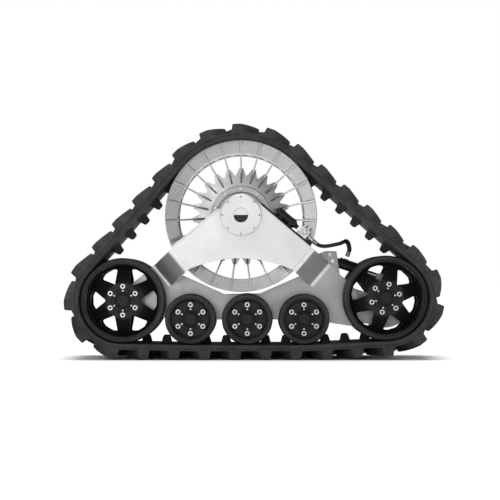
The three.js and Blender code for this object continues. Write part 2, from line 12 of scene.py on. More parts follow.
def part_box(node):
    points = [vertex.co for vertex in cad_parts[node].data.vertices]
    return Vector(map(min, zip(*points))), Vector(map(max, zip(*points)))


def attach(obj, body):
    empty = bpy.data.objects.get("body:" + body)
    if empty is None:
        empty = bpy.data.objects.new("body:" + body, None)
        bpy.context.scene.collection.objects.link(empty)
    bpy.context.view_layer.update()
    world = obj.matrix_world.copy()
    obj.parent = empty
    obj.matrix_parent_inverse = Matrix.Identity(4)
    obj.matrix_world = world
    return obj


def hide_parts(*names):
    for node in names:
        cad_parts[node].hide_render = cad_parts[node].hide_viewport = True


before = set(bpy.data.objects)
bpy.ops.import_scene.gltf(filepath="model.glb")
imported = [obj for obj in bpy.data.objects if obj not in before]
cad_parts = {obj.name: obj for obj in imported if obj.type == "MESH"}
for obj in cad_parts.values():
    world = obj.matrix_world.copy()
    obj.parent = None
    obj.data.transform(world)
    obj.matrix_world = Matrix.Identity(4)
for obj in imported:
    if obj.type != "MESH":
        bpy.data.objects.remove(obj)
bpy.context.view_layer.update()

MM = 0.001


def box_mm(node):
    low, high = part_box(node)
    return low / MM, high / MM


BELT_LOW, BELT_HIGH = box_mm("rubber_belt")
MIDDLE = (BELT_LOW.y + BELT_HIGH.y) / 2
TO_ROW = Matrix.Diagonal((MM, MM, MM, 1)) @ Matrix.Translation((0, MIDDLE, 0))


def centre_of(node):
    low, high = box_mm(node)
    return (low.x + high.x) / 2, (low.z + high.z) / 2


# ---- Places and driving sizes ----
CLEARANCE = 0.4
IDLER_RADIUS = 302
ROLLER_RADIUS = 180.5
DRIVE_RADIUS = 539.5
FRONT_IDLER = centre_of("front_idler_axle")
REAR_IDLER = centre_of("rear_idler_axle")
ROLLERS = [centre_of(f"roller_{k}_axle") for k in (1, 2, 3)]
REAR_IDLER_TURN = math.radians(13.8)

CARCASS = 38
TREAD_HEIGHT = 64
TREAD_COUNT = 30
GUIDE_HEIGHT = 62
GUIDE_COUNT = 45
RUNNING_GAP = 1.8
BELT_HALF = (BELT_HIGH.y - BELT_LOW.y) / 2

WHEEL_OUTER = -230
WHEEL_INNER = -65
DISC_FACE = -168
AXLE_RADIUS = 35
AXLE_REACH = 168
SPOKES = 6
IDLER_RIM = 272
ROLLER_RIM = 152
HUB_BORE = 62
NUT_RADIUS = {"idler": 101.5, "roller": 102}
CAP_RADIUS = {"idler": 58, "roller": 56}
CAP_SCREWS = 70

TEETH = 23
RIM_INNER = 449
RIM_FACE = 180
RIM_DISH = 8
STAR_FACE = -110
STAR_THICK = 14
STAR_BORE = 168.8
STAR_FLAT = 216
STAR_TIP = 345
STAR_NOTCH = 287
STAR_DISH = 12
HUB_BOLTS = 10
JOURNAL_RADIUS = 60

SIDE_FACE = -297
FRAME_PLATE = 15
ARM_END = 520
ARM_LOWER = -60
BEAM_FACE = 52
BEAM_INSIDE = 40
PIN_RADIUS = 15
BEARING_RADIUS = 96.5
WINDOW_RADIUS = 50.4
FRONT_ARM = {"side": -1, "angle": math.radians(39.6), "upper": 128}
REAR_ARM = {"side": 1, "angle": math.radians(40.2), "upper": 147}
SLIDE_ANGLE = math.radians(18.5)
CYLINDER_LINE = -94
CYLINDER_PIN = 722
PORT_AT = 815
EAR_PIN = 1086
EAR_RADIUS = 28
HYDRAULICS_Y = -240
BRACKET_TOP = 160.4
STRAPS_AT = (212, 296)
STRAP_WIDTH = 14
HOSE_RADIUS = 13.5
ELBOW_RADIUS = 16.4
ROUTE_STEPS = 10


# ---- Materials ----
class Nodes:
    """A material's node tree, with its shader and the piece's own coordinates at hand."""

    def __init__(self, name):
        self.material = bpy.data.materials.new(name)
        self.material.use_nodes = True
        self.tree = self.material.node_tree
        self.shader = self.tree.nodes["Principled BSDF"]
        self.coordinates = self.add("ShaderNodeTexCoord").outputs["Object"]

    def add(self, kind, **values):
        node = self.tree.nodes.new(kind)
        for key, value in values.items():
            setattr(node, key, value)
        return node

    def link(self, source, target):
        self.tree.links.new(source, target)

    def noise(self, scale, detail=4.0, rough=0.55):
        node = self.add("ShaderNodeTexNoise")
        node.inputs["Scale"].default_value = scale
        node.inputs["Detail"].default_value = detail
        node.inputs["Roughness"].default_value = rough
        self.link(self.coordinates, node.inputs["Vector"])
        return node.outputs["Fac"]

    def ranged(self, value, low, high, to_low, to_high):
        node = self.add("ShaderNodeMapRange")
        limits = {"From Min": low, "From Max": high, "To Min": to_low, "To Max": to_high}
        for socket, limit in limits.items():
            node.inputs[socket].default_value = limit
        self.link(value, node.inputs["Value"])
        return node.outputs["Result"]

    def blend(self, factor, first, second):
        node = self.add("ShaderNodeMix", data_type="RGBA")
        self.link(factor, node.inputs[0])
        for socket, colour in ((node.inputs[6], first), (node.inputs[7], second)):
            if isinstance(colour, tuple):
                socket.default_value = (*colour, 1)
            else:
                self.link(colour, socket)
        return node.outputs[2]

    def bump(self, height, strength, distance):
        node = self.add("ShaderNodeBump")
        node.inputs["Strength"].default_value = strength
        node.inputs["Distance"].default_value = distance
        self.link(height, node.inputs["Height"])
        self.link(node.outputs["Normal"], self.shader.inputs["Normal"])


def shade(colour, factor):
    return tuple(channel * factor for channel in colour)


def paint(name, colour, roughness, metallic, coat, texture, depth):
    """Sprayed paint: a fine texture, faint cloudiness, and dust where it has settled."""
    nodes = Nodes(name)
    shader = nodes.shader
    shader.inputs["Metallic"].default_value = metallic
    shader.inputs["Specular IOR Level"].default_value = 0.5 if metallic else 0.22
    shader.inputs["Coat Weight"].default_value = coat
    shader.inputs["Coat Roughness"].default_value = 0.25
    cloud = nodes.ranged(nodes.noise(5.0), 0.35, 0.65, 0.0, 1.0)
    body = nodes.blend(cloud, shade(colour, 0.94), shade(colour, 1.05))
    specks = nodes.ranged(nodes.noise(42.0, 6.0, 0.7), 0.62, 0.74, 0.0, 0.35)
    dust = tuple(0.75 * channel + 0.07 for channel in colour)
    nodes.link(nodes.blend(specks, body, dust), shader.inputs["Base Color"])
    gloss = nodes.ranged(nodes.noise(18.0, 5.0), 0.3, 0.7, roughness - 0.05, roughness + 0.08)
    nodes.link(gloss, shader.inputs["Roughness"])
    nodes.bump(nodes.noise(texture, 2.0), 0.25, depth)
    return nodes.material


def rubber(name, colour, roughness, dust, texture):
    """Moulded rubber: matt, with a leathery skin and pale dust in its hollows."""
    nodes = Nodes(name)
    nodes.shader.inputs["Specular IOR Level"].default_value = 0.35
    cloud = nodes.ranged(nodes.noise(9.0, 6.0, 0.65), 0.35, 0.7, 0.0, 1.0)
    nodes.link(nodes.blend(cloud, shade(colour, 0.8), dust), nodes.shader.inputs["Base Color"])
    worn = nodes.ranged(nodes.noise(30.0, 5.0), 0.3, 0.7, roughness - 0.08, roughness + 0.1)
    nodes.link(worn, nodes.shader.inputs["Roughness"])
    nodes.bump(nodes.noise(texture, 5.0, 0.65), 0.35, 0.0012)
    return nodes.material


def steel(name, colour, roughness, texture):
    """Machined or plated steel with fine tool marks and slight staining."""
    nodes = Nodes(name)
    nodes.shader.inputs["Metallic"].default_value = 0.9
    stain = nodes.ranged(nodes.noise(25.0, 5.0, 0.6), 0.4, 0.7, 0.0, 1.0)
    nodes.link(nodes.blend(stain, colour, shade(colour, 0.8)), nodes.shader.inputs["Base Color"])
    wear = nodes.ranged(nodes.noise(60.0, 4.0), 0.3, 0.7, roughness - 0.06, roughness + 0.1)
    nodes.link(wear, nodes.shader.inputs["Roughness"])
    nodes.bump(nodes.noise(texture, 3.0), 0.06, 0.0002)
    return nodes.material


def glass(name):
    """The dark window of the oil sight glass."""
    nodes = Nodes(name)
    nodes.shader.inputs["Roughness"].default_value = 0.06
    nodes.shader.inputs["Coat Weight"].default_value = 1.0
    haze = nodes.ranged(nodes.noise(30.0), 0.3, 0.7, 0.0, 1.0)
    colour = nodes.blend(haze, (0.012, 0.012, 0.013), (0.022, 0.022, 0.024))
    nodes.link(colour, nodes.shader.inputs["Base Color"])
    return nodes.material


def grey(value):
    return (value, value, value)


MATERIALS = {
    "belt_rubber": rubber("belt_rubber", (0.024, 0.024, 0.025), 0.82, grey(0.038), 260.0),
    "tyre_rubber": rubber("tyre_rubber", (0.016, 0.016, 0.017), 0.6, grey(0.026), 420.0),
    "hose_rubber": rubber("hose_rubber", (0.016, 0.016, 0.017), 0.5, grey(0.022), 600.0),
    "silver_paint": paint("silver_paint", (0.63, 0.635, 0.64), 0.38, 0.78, 0.1, 700.0, 0.0004),
    # Painted shade: the same silver paint darkened for the drive wheel, standing in for the shade on its
    # rings and star plate.
    "silver_drive_painted_shade": paint("silver_drive_painted_shade", (0.36, 0.365, 0.37), 0.3, 0.9, 0.1, 700.0, 0.0004),
    # Painted shade: the same silver paint darkened for the lower beam plates, standing in for the shade
    # they sit in behind the side plate and wheels.
    "silver_beam_painted_shade": paint("silver_beam_painted_shade", (0.38, 0.385, 0.39), 0.38, 0.75, 0.1, 700.0, 0.0004),
    "black_paint": paint("black_paint", (0.01, 0.01, 0.011), 0.36, 0.0, 0.0, 500.0, 0.0005),
    "grey_steel": steel("grey_steel", (0.3, 0.305, 0.31), 0.42, 300.0),
    "bright_steel": steel("bright_steel", (0.7, 0.7, 0.69), 0.3, 240.0),
    "lens_glass": glass("lens_glass"),
}


# ---- Mesh helpers. A solid is a list of corners and a list of faces ----
def moved(solid, matrix):
    corners, faces = solid
    return [matrix @ corner for corner in corners], faces


def merged(*solids):
    corners, faces = [], []
    for own_corners, own_faces in solids:
        first = len(corners)
        corners += own_corners
        faces += [[first + corner for corner in face] for face in own_faces]
    return corners, faces


def at(x=0, y=0, z=0):
    return Matrix.Translation((x, y, z))


def spin(angle, axis="Y"):
    return Matrix.Rotation(angle, 4, axis)


def around(solid, count, first=0.0):
    """Copies of a solid turned evenly round the Y axis, first is in turns of one step."""
    step = 2 * math.pi / count
    return merged(*(moved(solid, spin((k + first) * step)) for k in range(count)))


def eased(points, radius, closed=True, steps=4):
    """An outline with its corners rounded. radius is one length, or one for each point."""
    radii = radius if isinstance(radius, list) else [radius] * len(points)
    result = []
    for i, point in enumerate(points):
        here = Vector(point)
        if radii[i] == 0 or (not closed and i in (0, len(points) - 1)):
            result.append(here)
            continue
        ends = []
        for other in (points[i - 1], points[(i + 1) % len(points)]):
            away = Vector(other) - here
            ends.append(here + away * min(radii[i] / away.length, 0.49))
        for k in range(steps + 1):
            t = k / steps
            result.append(ends[0] * (1 - t) ** 2 + here * 2 * t * (1 - t) + ends[1] * t * t)
    return [tuple(point) for point in result]


def turned(profile, segments=96):
    """A profile of (radius, y) turned round Y: closed on itself unless it starts on the axis."""
    corners, faces, rings = [], [], []
    for radius, y in profile:
        count = segments if radius > 1e-6 else 1
        rings.append(range(len(corners), len(corners) + count))
        for k in range(count):
            angle = 2 * math.pi * k / segments
            corners.append(Vector((radius * math.cos(angle), y, radius * math.sin(angle))))
    following = rings[1:] + (rings[:1] if profile[0][0] > 1e-6 else [])
    for near, far in zip(rings, following):
        for k in range(segments):
            around_face = ((near, k), (near, k + 1), (far, k + 1), (far, k))
            face = [level[place % len(level)] for level, place in around_face]
            faces.append(list(dict.fromkeys(face)))
    return corners, faces


def ring(inner, outer, y_from, y_to, edge=2.0, segments=96):
    profile = [(inner, y_from), (outer, y_from), (outer, y_to), (inner, y_to)]
    return turned(eased(profile, edge), segments)


def rod(radius, y_from, y_to, edge=1.5, segments=40):
    profile = [(0, y_from), (radius, y_from), (radius, y_to), (0, y_to)]
    return turned(eased(profile, edge, closed=False), segments)


def circle(radius, x=0, z=0, count=40):
    turns = [2 * math.pi * k / count for k in range(count)]
    return [(x + radius * math.cos(turn), z + radius * math.sin(turn)) for turn in turns]


def from_bmesh(bm):
    corners = [vertex.co.copy() for vertex in bm.verts]
    bm.verts.index_update()
    faces = [[vertex.index for vertex in face.verts] for face in bm.faces]
    bm.free()
    return corners, faces


def flat(outline, thickness, holes=(), edge=1.5):
    """An outline in X and Y filled in, with small rounded edges, thickness along Z either way."""
    curve = bpy.data.curves.new("outline", "CURVE")
    curve.dimensions = "2D"
    curve.fill_mode = "BOTH"
    for points in (outline, *holes):
        spline = curve.splines.new("POLY")
        spline.points.add(len(points) - 1)
        for target, (x, y) in zip(spline.points, points):
            target.co = (x, y, 0, 1)
        spline.use_cyclic_u = True
    curve.extrude = thickness / 2 - edge
    curve.bevel_depth = edge
    curve.bevel_resolution = 1
    curve.offset = -edge
    holder = bpy.data.objects.new("outline", curve)
    mesh = bpy.data.meshes.new_from_object(holder)
    bm = bmesh.new()
    bm.from_mesh(mesh)
    bmesh.ops.remove_doubles(bm, verts=bm.verts, dist=0.02)
    bpy.data.objects.remove(holder)
    bpy.data.curves.remove(curve)
    bpy.data.meshes.remove(mesh)
    return from_bmesh(bm)


def plate(outline, y_from, y_to, holes=(), edge=1.5):
    """A flat solid that stands up: its outline in X and Z, its thickness from y_from to y_to."""
    upright = at(y=(y_from + y_to) / 2) @ spin(math.pi / 2, "X")
    return moved(flat(outline, y_to - y_from, holes, edge), upright)


def block(x, y, z, edge=2.0):
    bm = bmesh.new()
    bmesh.ops.create_cube(bm, size=1.0, matrix=Matrix.Diagonal((x, y, z, 1)))
    bmesh.ops.bevel(bm, geom=bm.edges, offset=edge, segments=2, profile=0.5, affect="EDGES")
    return from_bmesh(bm)


def bolt_head(across, height, face=0.0):
    """A hexagon head on a washer, standing out along -Y."""
    corner = across / math.sqrt(3)
    washer_radius = corner * 1.12
    profile = [(0, 0), (washer_radius, 0), (washer_radius, -3), (0, -3)]
    washer = turned(eased(profile, 1.0, closed=False), 28)
    profile = [(0, -3), (corner, -3), (corner, -height + 2), (corner - 2.5, -height), (0, -height)]
    head = turned(profile, 6)
    return moved(merged(washer, head), at(y=face))


def socket_screw(radius, height, face=0.0):
    """A round cap screw with a dimple in its head."""
    floor = -height + 3
    profile = [(0, 0), (radius, 0), (radius, -height), (radius * 0.5, -height),
               (radius * 0.4, floor), (0, floor)]
    return moved(turned(eased(profile, 0.8, closed=False, steps=2), 24), at(y=face))


def piece(name, solid, slot, body="frame", stands_for=(), place=None, sharp=38, finish=None):
    """Makes one visible piece: its mesh and material, set under its body, with the CAD nodes it stands for
    hidden. The slot picks the material unless a finish is given.
    """
    corners, faces = moved(solid, TO_ROW @ place if place else TO_ROW)
    bm = bmesh.new()
    vertices = [bm.verts.new(corner) for corner in corners]
    for face in faces:
        if len(face) > 2:
            bm.faces.new([vertices[corner] for corner in face])
    bmesh.ops.recalc_face_normals(bm, faces=bm.faces)
    mesh = bpy.data.meshes.new(name)
    bm.to_mesh(mesh)
    bm.free()
    mesh.shade_smooth()
    mesh.set_sharp_from_angle(angle=math.radians(sharp))
    mesh.materials.append(MATERIALS[finish or slot])
    obj = bpy.data.objects.new(name, mesh)
    bpy.context.scene.collection.objects.link(obj)
    weighted = obj.modifiers.new("normals", "WEIGHTED_NORMAL")
    weighted.keep_sharp = True
    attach(obj, body)
    if stands_for:
        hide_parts(*stands_for)
    return obj


# ---- Belt ----
def neutral_line():
    """The belt's neutral line: an arc on each wheel, each followed by a straight."""
    wheels = [
        (0.0, 0.0, DRIVE_RADIUS),
        (*FRONT_IDLER, IDLER_RADIUS),
        (*ROLLERS[0], ROLLER_RADIUS),
        (*ROLLERS[-1], ROLLER_RADIUS),
        (*REAR_IDLER, IDLER_RADIUS),
    ]

    def leave_angle(a, b):
        apart = math.hypot(b[0] - a[0], b[1] - a[1])
        return math.atan2(b[1] - a[1], b[0] - a[0]) - math.acos((a[2] - b[2]) / apart)

    runs = []
    for i, wheel in enumerate(wheels):
        following = wheels[(i + 1) % len(wheels)]
        start = leave_angle(wheels[i - 1], wheel)
        end = leave_angle(wheel, following)
        while end < start:
            end += 2 * math.pi
        radius = wheel[2] + RUNNING_GAP + CARCASS / 2
        apart = math.hypot(following[0] - wheel[0], following[1] - wheel[1])
        runs.append((wheel, radius, start, end - start, radius * (end - start)))
        straight = math.sqrt(apart ** 2 - (wheel[2] - following[2]) ** 2)
        runs.append((wheel, radius, end, 0.0, straight))
    return runs


RUNS = neutral_line()
BELT_LENGTH = sum(run[4] for run in RUNS)


def belt_point(distance, across, height):
    """A point of the belt: along it, across it, and out from its neutral line."""
    left = distance % BELT_LENGTH
    for wheel, radius, start, turn, length in RUNS:
        if left <= length:
            break
        left -= length
    angle = start + turn * left / length
    straight = 0 if turn else left
    out = radius + height
    return Vector((
        wheel[0] + out * math.cos(angle) - straight * math.sin(angle),
        across,
        wheel[1] + out * math.sin(angle) + straight * math.cos(angle),
    ))


def lofted(sections, closed=False):
    """A skin through sections of equal count, capped at both ends unless it closes on itself."""
    count = len(sections[0])
    corners = [corner for section in sections for corner in section]
    faces = []
    for k in range(len(sections) if closed else len(sections) - 1):
        base, after = k * count, (k + 1) % len(sections) * count
        for i in range(count):
            j = (i + 1) % count
            faces.append([base + i, base + j, after + j, after + i])
    if not closed:
        faces += [list(range(count)), list(range(len(corners) - count, len(corners)))]
    return corners, faces


def carcass():
    """The belt's body, with rounded edges and the moulding groove along each side."""
    half, top = BELT_HALF, CARCASS / 2
    side = [(half, -top), (half, 3), (half - 4, 5), (half - 4, 7), (half, 9), (half, top)]
    section = side + [(-across, height) for across, height in reversed(side)]
    radii = [5, 1, 1, 1, 1, 4, 4, 1, 1, 1, 1, 5]
    section = eased(section, radii, steps=2)
    arc_step = math.radians(2.5)
    sections, passed = [], 0.0
    for _, _, _, turn, length in RUNS:
        steps = max(1, math.ceil(turn / arc_step))
        for k in range(steps):
            sections.append([belt_point(passed + length * k / steps, *point) for point in section])
        passed += length
    return lofted(sections, closed=True)


def tread_bar(distance, side):
    """A slanting bar: square to the belt's edge at its outer end, trailing at its inner end."""
    root, crest = CARCASS / 2 - 4, CARCASS / 2 + TREAD_HEIGHT
    outline = [(-44, root), (-41, root + 9), (-29, crest), (29, crest), (41, root + 9), (44, root)]
    outline = eased(outline, [0, 10, 9, 9, 10, 0], steps=3)
    edge = BELT_HALF - 0.5
    full_shares = (0.012, 0.15, 0.3, 0.45, 0.6, 0.75, 0.9, 0.985)
    end_shrink = 0.86
    sections = []
    for share in (0, *full_shares, 1):
        shrink = 1 if share in full_shares else end_shrink
        section = []
        for along, height in outline:
            rise = (height - root) / (crest - root)
            outer, inner = edge - 14 * rise, 22 + 8 * rise
            lowered = root + (height - root) * (shrink if shrink == 1 else 0.96)
            trail = 110 * (share + 0.25 * share * (1 - share))
            across = side * (outer + (inner - outer) * share)
            section.append(belt_point(distance - trail + along * shrink, across, lowered))
        sections.append(section)
    return lofted(sections)


def guide_lug(distance):
    """A tapered tooth on the belt's inside, between the two rows of wheels."""
    root, crest = -CARCASS / 2 + 4, -CARCASS / 2 - GUIDE_HEIGHT
    sections = []
    for share, shrink in ((-1, 0.84), (-0.86, 1), (0, 1), (0.86, 1), (1, 0.84)):
        outline = [(-40, root), (-23, crest), (23, crest), (40, root)]
        section = []
        for along, height in eased(outline, [0, 12, 12, 0], steps=3):
            deep = (height - root) / (crest - root)
            section.append(belt_point(distance + along * shrink, share * (48 - 12 * deep), height))
        sections.append(section)
    return lofted(sections)


def belt():
    pitch = BELT_LENGTH / TREAD_COUNT
    bars = []
    for k in range(TREAD_COUNT):
        bars += [tread_bar(k * pitch, -1), tread_bar((k + 0.5) * pitch, 1)]
    guides = [guide_lug((k + 0.5) * BELT_LENGTH / GUIDE_COUNT) for k in range(GUIDE_COUNT)]
    whole = merged(carcass(), *bars, *guides)
    piece("belt_carcass", whole, "belt_rubber", stands_for=["rubber_belt"])


belt()


# ---- Idlers and road rollers, drawn for the outboard side ----
def boolean_cut(solid, cutter):
    """One solid less another."""
    made = []
    for corners, faces in (solid, cutter):
        mesh = bpy.data.meshes.new("cutting")
        mesh.from_pydata(corners, [], faces)
        bm = bmesh.new()
        bm.from_mesh(mesh)
        bmesh.ops.recalc_face_normals(bm, faces=bm.faces)
        bm.to_mesh(mesh)
        bm.free()
        made.append(bpy.data.objects.new("cutting", mesh))
        bpy.context.scene.collection.objects.link(made[-1])
    modifier = made[0].modifiers.new("cut", "BOOLEAN")
    modifier.object = made[1]
    modifier.solver = "EXACT"
    graph = bpy.context.evaluated_depsgraph_get()
    bm = bmesh.new()
    bm.from_object(made[0], graph)
    for obj in made:
        mesh = obj.data
        bpy.data.objects.remove(obj)
        bpy.data.meshes.remove(mesh)
    return from_bmesh(bm)


def tyre(inner, outer):
    profile = [(inner, WHEEL_OUTER), (outer - 6, WHEEL_OUTER), (outer, WHEEL_OUTER + 22),
               (outer, WHEEL_INNER - 22), (outer - 6, WHEEL_INNER), (inner, WHEEL_INNER)]
    return turned(eased(profile, [3, 9, 14, 14, 9, 3]), 120)


def idler_wheel():
    """A pressed wheel: a wide rim, and a disc that leans back to it, with a window between spokes."""
    outer, inner, dish = IDLER_RIM - CLEARANCE, 258, 126
    body = turned(eased([
        (outer, WHEEL_OUTER + 2), (outer, WHEEL_INNER - 2), (inner, WHEEL_INNER - 2),
        (dish, DISC_FACE + 14), (HUB_BORE, DISC_FACE + 14), (HUB_BORE, DISC_FACE - 4), (79, DISC_FACE - 4),
        (80, DISC_FACE + 2), (84, DISC_FACE + 2), (85, DISC_FACE), (dish, DISC_FACE),
        (inner, WHEEL_INNER - 16), (inner, WHEEL_OUTER + 2),
    ], [2, 2, 2, 10, 2, 1, 1.5, 1, 1, 1, 16, 9, 4], steps=3), 120)
    corners = [(126, -3), (226, -19), (238, -8), (238, 8), (226, 19), (126, 3)]
    points = []
    for radius, degrees in corners:
        turn = math.radians(degrees)
        points.append((radius * math.cos(turn), radius * math.sin(turn)))
    window = flat(eased(points, [8, 15, 12, 12, 15, 8], steps=4), 240, edge=0.01)
    window = moved(window, at(y=-120) @ spin(math.pi / 2, "X"))
    return boolean_cut(body, around(window, SPOKES))


def roller_wheel():
    """A pressed wheel with a plain flat disc."""
    outer, inner = ROLLER_RIM - CLEARANCE, 140
    return turned(eased([
        (outer, WHEEL_OUTER + 2), (outer, WHEEL_INNER - 2), (inner, WHEEL_INNER - 2),
        (inner, DISC_FACE + 14), (HUB_BORE, DISC_FACE + 14), (HUB_BORE, DISC_FACE - 4), (74, DISC_FACE - 4),
        (75, DISC_FACE + 2), (79, DISC_FACE + 2), (80, DISC_FACE), (122, DISC_FACE),
        (inner, DISC_FACE - 14), (inner, WHEEL_OUTER + 2),
    ], [2, 2, 2, 4, 2, 1, 1.5, 1, 1, 1, 10, 8, 4], steps=3), 96)


def hub(cap):
    """Bearing hub: a capped end with a raised ring, and the flange behind the wheel's disc."""
    disc_back = DISC_FACE + 14 + CLEARANCE
    bore = AXLE_RADIUS + 1
    profile = [
        (0, -185), (cap - 19, -185), (cap - 15, -190), (cap - 12, -190), (cap - 7, -181), (cap, -181),
        (HUB_BORE - 1, -175), (HUB_BORE - 1, disc_back), (118, disc_back), (72, -62), (bore, -62),
        (bore, -172), (0, -172),
    ]
    radii = [0, 1, 1.5, 1.5, 1, 2, 3, 1, 3, 3, 1, 1, 0]
    return turned(eased(profile, radii, closed=False, steps=2), 72)


def wheel_fasteners(nut_radius):
    """The wheel nuts with the bearing cap's small screws, and the studs in the nuts."""
    collar = turned(eased([(9, 0), (21, 0), (21, -4), (17, -9), (17, -20), (9, -20)], 1.2, steps=2), 40)
    nuts = around(moved(collar, at(0, DISC_FACE, nut_radius)), SPOKES)
    screw = moved(socket_screw(6, 7, DISC_FACE - 4), at(z=CAP_SCREWS))
    studs = around(moved(rod(8.6, DISC_FACE, DISC_FACE - 15, 1.0, 24), at(z=nut_radius)), SPOKES)
    return merged(nuts, around(screw, SPOKES)), studs


def wheel_pair(name, kind, centre, radius, rim, wheel, turn=0.0):
    """An outboard and an inboard wheel of one kind on the same axle."""
    nuts, studs = wheel_fasteners(NUT_RADIUS[kind])
    bearing = merged(hub(CAP_RADIUS[kind]), studs)
    for side, half_turn in (("outboard", 0), ("inboard", math.pi)):
        place = at(centre[0], 0, centre[1]) @ spin(turn) @ spin(half_turn, "Z")
        body = f"{name}_{side}"

        def add(part, solid, slot, *nodes):
            piece(f"{name}_{part}_{side}_skin", solid, slot, body, nodes, place)

        add("tyre", tyre(rim, radius), "tyre_rubber", f"{name}_tyre_{side}")
        add("wheel", wheel, "black_paint", f"{name}_wheel_{side}")
        add("hub", bearing, "black_paint", f"{name}_hub_{side}")
        add("fasteners", nuts, "bright_steel")


IDLER_WHEEL = idler_wheel()
ROLLER_WHEEL = roller_wheel()
IDLERS = (("front_idler", FRONT_IDLER, 0.0), ("rear_idler", REAR_IDLER, REAR_IDLER_TURN))
for name, centre, turn in IDLERS:
    wheel_pair(name, "idler", centre, IDLER_RADIUS, IDLER_RIM, IDLER_WHEEL, turn)
for index, roller in enumerate(ROLLERS, 1):
    wheel_pair(f"roller_{index}", "roller", roller, ROLLER_RADIUS, ROLLER_RIM, ROLLER_WHEEL)


# ---- Axles ----
def frame_axle(centre):
    """An axle with a thick middle that fills the gap between the beam plates."""
    shoulder = BEAM_INSIDE - CLEARANCE
    profile = [
        (0, -AXLE_REACH), (AXLE_RADIUS, -AXLE_REACH), (AXLE_RADIUS, -shoulder), (54, -shoulder),
        (54, shoulder), (AXLE_RADIUS, shoulder), (AXLE_RADIUS, AXLE_REACH), (0, AXLE_REACH),
    ]
    return moved(turned(eased(profile, 1.5, closed=False), 64), at(centre[0], 0, centre[1]))


AXLES = [("front_idler_axle", FRONT_IDLER)]
AXLES += [(f"roller_{index}_axle", roller) for index, roller in enumerate(ROLLERS, 1)]
for node, centre in AXLES:
    piece(f"{node}_skin", frame_axle(centre), "grey_steel", stands_for=[node])
REAR_AXLE = moved(rod(AXLE_RADIUS, -AXLE_REACH, AXLE_REACH, 2, 64), at(REAR_IDLER[0], 0, REAR_IDLER[1]))
piece("rear_idler_axle_skin", REAR_AXLE, "grey_steel", "tensioner", ["rear_idler_axle"])


# ---- Drive wheel ----
def drive_rim():
    """Two dished rings joined by the bars that drive the belt, with a thin drum inside the bars."""
    skin = 14
    face = [(RIM_INNER, -RIM_FACE + RIM_DISH), (DRIVE_RADIUS, -RIM_FACE), (DRIVE_RADIUS, -60),
            (DRIVE_RADIUS - skin, -60), (DRIVE_RADIUS - skin, -RIM_FACE + skin),
            (RIM_INNER, -RIM_FACE + RIM_DISH + skin)]
    outboard = turned(eased(face, [2.5, 5, 2, 2, 6, 2.5]), 180)
    bar = moved(block(34, 2 * RIM_FACE - 16, 23, 4), at(z=463.5))
    drum = ring(456, 465, -RIM_FACE + skin, RIM_FACE - skin, 1.5, 180)
    return merged(outboard, moved(outboard, spin(math.pi, "Z")), around(bar, TEETH, 0.5), drum)


def star_plate():
    """The toothed plate: flat under the hub's ring, then a shallow dish out to its tips."""
    step = 2 * math.pi / TEETH
    points, radii = [], []
    for k in range(TEETH):
        for radius, share, corner in ((STAR_TIP, -0.143, 6), (STAR_TIP, 0.143, 6), (STAR_NOTCH, 0.5, 16)):
            angle = math.pi / 2 + (k + share) * step
            points.append((radius * math.cos(angle), radius * math.sin(angle)))
            radii.append(corner)
    edge = 2
    sections = []
    for x, z in eased(points, radii):
        reach = math.hypot(x, z)
        profile = (
            (STAR_BORE, 0), (STAR_FLAT, 0), (reach - edge, 0), (reach, edge),
            (reach, STAR_THICK - edge), (reach - edge, STAR_THICK), (STAR_FLAT, STAR_THICK),
            (STAR_BORE, STAR_THICK),
        )
        section = []
        for radius, depth in profile:
            back = STAR_DISH * max(0.0, radius - STAR_FLAT) / (STAR_TIP - STAR_FLAT)
            section.append(Vector((x * radius / reach, STAR_FACE + depth + back, z * radius / reach)))
        sections.append(section)
    return lofted(sections, closed=True)


def star_ribs():
    """The ribs from the star plate out to the rim, one on each tooth."""
    outline = [(238, 104), (340, 92), (RIM_INNER - 2, RIM_FACE - RIM_DISH - 1),
               (DRIVE_RADIUS - 0.5, RIM_FACE - 2), (DRIVE_RADIUS - 0.5, 198), (330, 165), (238, 114)]
    rib = flat(eased(outline, [2, 3, 3, 0, 6, 30, 4]), 12, edge=1.5)
    standing = Matrix(((0, 0, 1, 0), (0, -1, 0, 0), (1, 0, 0, 0), (0, 0, 0, 1)))
    return around(moved(rib, standing), TEETH)


def weld_fillets():
    """The weld seams beside each rib on the rim's face."""
    seam = turned(eased([(0, 0), (4.5, 0), (4.5, 84), (0, 84)], 2, closed=False, steps=2), 8)
    seam = moved(seam, spin(math.pi / 2, "X"))
    seams = [moved(seam, at(x, -RIM_FACE + RIM_DISH / 2, RIM_INNER + 1)) for x in (-6, 6)]
    return around(merged(*seams), TEETH)


def drive_hub():
    """The journal, the ring that clamps the star plate, and the flange that bolts to the vehicle."""
    sleeve = turned(eased([
        (0, -294), (JOURNAL_RADIUS, -294), (JOURNAL_RADIUS, -128), (168, -128), (172, -133), (212, -133),
        (215, -128), (215, -110.4), (168.1, -110.4), (168.1, -90), (110, -90), (110, 106), (0, 106),
    ], [0, 3, 4, 1, 2, 2, 2, 1, 1, 3, 6, 1, 0], closed=False, steps=3), 120)
    holes = []
    for k in range(HUB_BOLTS):
        turn = 2 * math.pi * (k + 0.5) / HUB_BOLTS
        holes.append(circle(11, 170 * math.cos(turn), 170 * math.sin(turn), 24))
    flange = plate(circle(200, count=120), 105, 130, holes, 2)
    return merged(sleeve, flange)


def hub_ring_bolts():
    return around(moved(bolt_head(19, 12, -133), at(z=192)), HUB_BOLTS)


DRIVE_PIECES = (
    ("drive_rim_skin", drive_rim(), ["drive_rim"]),
    ("drive_star", merged(star_plate(), star_ribs()), ["drive_spider"]),
    ("rib_welds", weld_fillets(), []),
    ("drive_hub_skin", drive_hub(), ["drive_hub"]),
)
# The drive wheel's pieces keep the silver paint's slot but take its darkened copy, which is painted shade.
for name, solid, nodes in DRIVE_PIECES:
    piece(name, solid, "silver_paint", "drive_wheel", nodes, finish="silver_drive_painted_shade")
piece("hub_ring_bolts", hub_ring_bolts(), "bright_steel", "drive_wheel")


